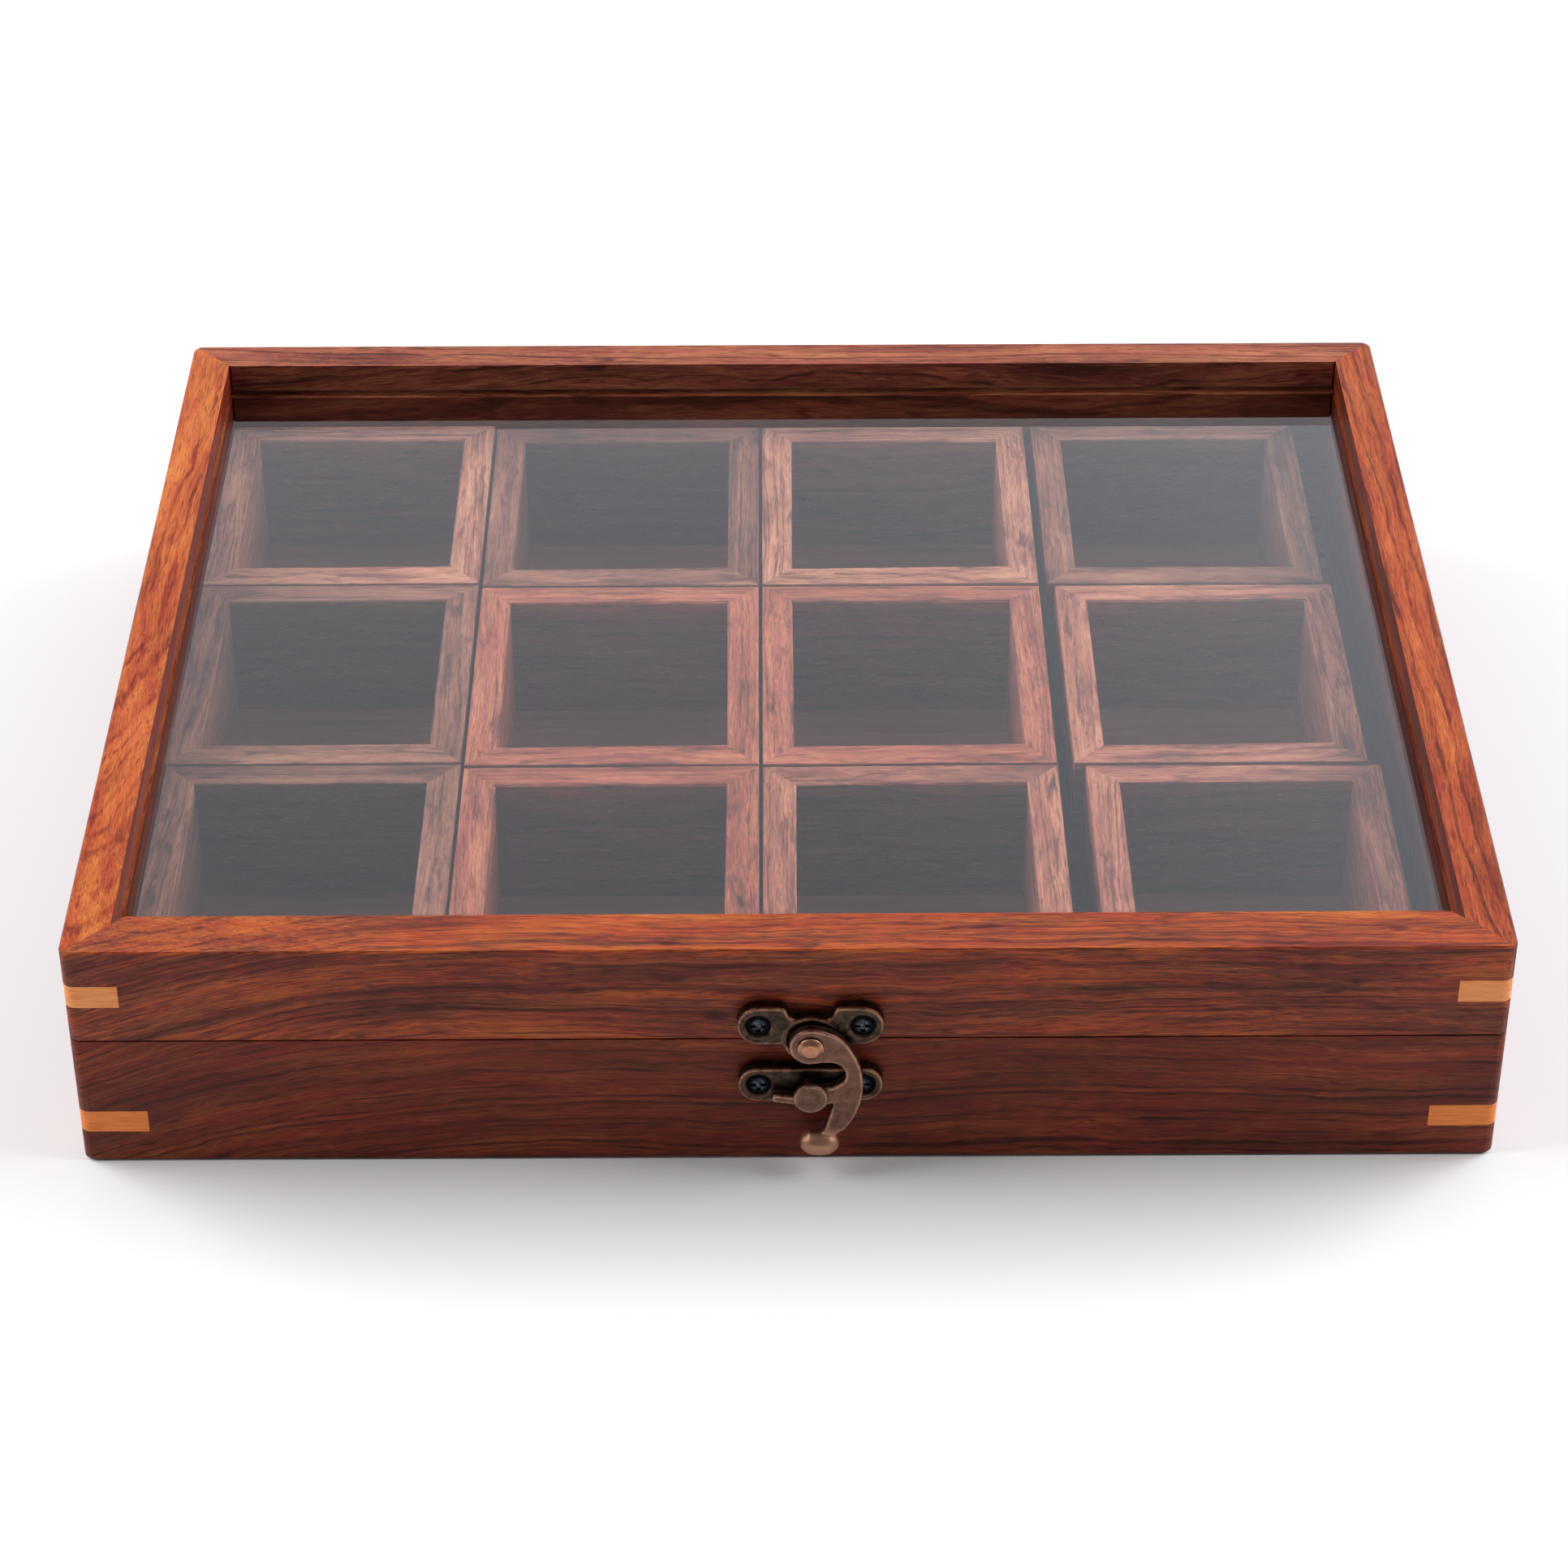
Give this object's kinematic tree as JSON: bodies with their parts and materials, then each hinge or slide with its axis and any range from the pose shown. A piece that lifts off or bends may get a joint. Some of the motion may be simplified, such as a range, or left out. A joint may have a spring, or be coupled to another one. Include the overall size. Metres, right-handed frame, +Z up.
{
  "type": "spice box",
  "caption": "Shallow rectangular hardwood box with a hinged glass lid, a swing latch on the front and loose square wooden cups in rows for spices.",
  "frame": {"origin": "middle of the base's underside, which is the face it stands on", "axes": "+X to the right as seen from the latch side, +Y to the back, +Z up; the latch is on -Y"},
  "size_m": [0.3, 0.2652, 0.0557],
  "materials": {
    "stained_hardwood": "red-brown stained and lacquered hardwood",
    "cup_hardwood": "oiled hardwood, unlacquered",
    "pale_spline_wood": "pale hardwood, lacquered",
    "plywood": "thin plywood",
    "clear_glass": "clear, polished",
    "antique_copper": "antique copper, worn to bare copper on the edges",
    "blackened_steel": "blackened steel"
  },
  "bodies": {
    "base": {"base_front_wall": "stained_hardwood", "base_right_wall": "stained_hardwood", "base_back_wall": "stained_hardwood", "base_left_wall": "stained_hardwood", "base_corner_splines": "pale_spline_wood", "bottom_panel": "plywood", "keeper_plate": "antique_copper", "keeper_post": "antique_copper", "keeper_screws": "blackened_steel", "left_hinge_base_leaf": "antique_copper", "right_hinge_base_leaf": "antique_copper", "left_hinge_pin": "antique_copper", "right_hinge_pin": "antique_copper", "hinge_base_nails": "blackened_steel"},
    "lid": {"lid_front_rail": "stained_hardwood", "lid_right_rail": "stained_hardwood", "lid_back_rail": "stained_hardwood", "lid_left_rail": "stained_hardwood", "lid_corner_splines": "pale_spline_wood", "glass_panel": "clear_glass", "latch_plate": "antique_copper", "latch_rivet": "antique_copper", "latch_screws": "blackened_steel", "left_hinge_lid_leaf": "antique_copper", "right_hinge_lid_leaf": "antique_copper", "hinge_lid_nails": "blackened_steel"},
    "latch_arm": {"latch_arm": "antique_copper"},
    "cup_back_1": {"cup_back_1_walls": "cup_hardwood", "cup_back_1_bottom": "cup_hardwood"},
    "cup_back_2": {"cup_back_2_walls": "cup_hardwood", "cup_back_2_bottom": "cup_hardwood"},
    "cup_back_3": {"cup_back_3_walls": "cup_hardwood", "cup_back_3_bottom": "cup_hardwood"},
    "cup_back_4": {"cup_back_4_walls": "cup_hardwood", "cup_back_4_bottom": "cup_hardwood"},
    "cup_middle_1": {"cup_middle_1_walls": "cup_hardwood", "cup_middle_1_bottom": "cup_hardwood"},
    "cup_middle_2": {"cup_middle_2_walls": "cup_hardwood", "cup_middle_2_bottom": "cup_hardwood"},
    "cup_middle_3": {"cup_middle_3_walls": "cup_hardwood", "cup_middle_3_bottom": "cup_hardwood"},
    "cup_middle_4": {"cup_middle_4_walls": "cup_hardwood", "cup_middle_4_bottom": "cup_hardwood"},
    "cup_front_1": {"cup_front_1_walls": "cup_hardwood", "cup_front_1_bottom": "cup_hardwood"},
    "cup_front_2": {"cup_front_2_walls": "cup_hardwood", "cup_front_2_bottom": "cup_hardwood"},
    "cup_front_3": {"cup_front_3_walls": "cup_hardwood", "cup_front_3_bottom": "cup_hardwood"},
    "cup_front_4": {"cup_front_4_walls": "cup_hardwood", "cup_front_4_bottom": "cup_hardwood"}
  },
  "joints": [
    {"name": "lid_hinge", "type": "hinge", "parent": "base", "child": "lid", "pos_m": [0, 0.12875, 0.0325], "axis": [-1, 0, 0], "range_deg": [0, 180]},
    {"name": "latch_pivot", "type": "hinge", "parent": "lid", "child": "latch_arm", "pos_m": [0.0045, -0.13105, 0.0346], "axis": [0, -1, 0], "range_deg": [0, 180]},
    {"name": "cup_back_1_lift", "type": "slide", "parent": "base", "child": "cup_back_1", "axis": [0, 0, 1], "range_m": [0, 0.007]},
    {"name": "cup_back_2_lift", "type": "slide", "parent": "base", "child": "cup_back_2", "axis": [0, 0, 1], "range_m": [0, 0.007]},
    {"name": "cup_back_3_lift", "type": "slide", "parent": "base", "child": "cup_back_3", "axis": [0, 0, 1], "range_m": [0, 0.007]},
    {"name": "cup_back_4_lift", "type": "slide", "parent": "base", "child": "cup_back_4", "axis": [0, 0, 1], "range_m": [0, 0.007]},
    {"name": "cup_middle_1_lift", "type": "slide", "parent": "base", "child": "cup_middle_1", "axis": [0, 0, 1], "range_m": [0, 0.007]},
    {"name": "cup_middle_2_lift", "type": "slide", "parent": "base", "child": "cup_middle_2", "axis": [0, 0, 1], "range_m": [0, 0.007]},
    {"name": "cup_middle_3_lift", "type": "slide", "parent": "base", "child": "cup_middle_3", "axis": [0, 0, 1], "range_m": [0, 0.007]},
    {"name": "cup_middle_4_lift", "type": "slide", "parent": "base", "child": "cup_middle_4", "axis": [0, 0, 1], "range_m": [0, 0.007]},
    {"name": "cup_front_1_lift", "type": "slide", "parent": "base", "child": "cup_front_1", "axis": [0, 0, 1], "range_m": [0, 0.007]},
    {"name": "cup_front_2_lift", "type": "slide", "parent": "base", "child": "cup_front_2", "axis": [0, 0, 1], "range_m": [0, 0.007]},
    {"name": "cup_front_3_lift", "type": "slide", "parent": "base", "child": "cup_front_3", "axis": [0, 0, 1], "range_m": [0, 0.007]},
    {"name": "cup_front_4_lift", "type": "slide", "parent": "base", "child": "cup_front_4", "axis": [0, 0, 1], "range_m": [0, 0.007]}
  ]
}
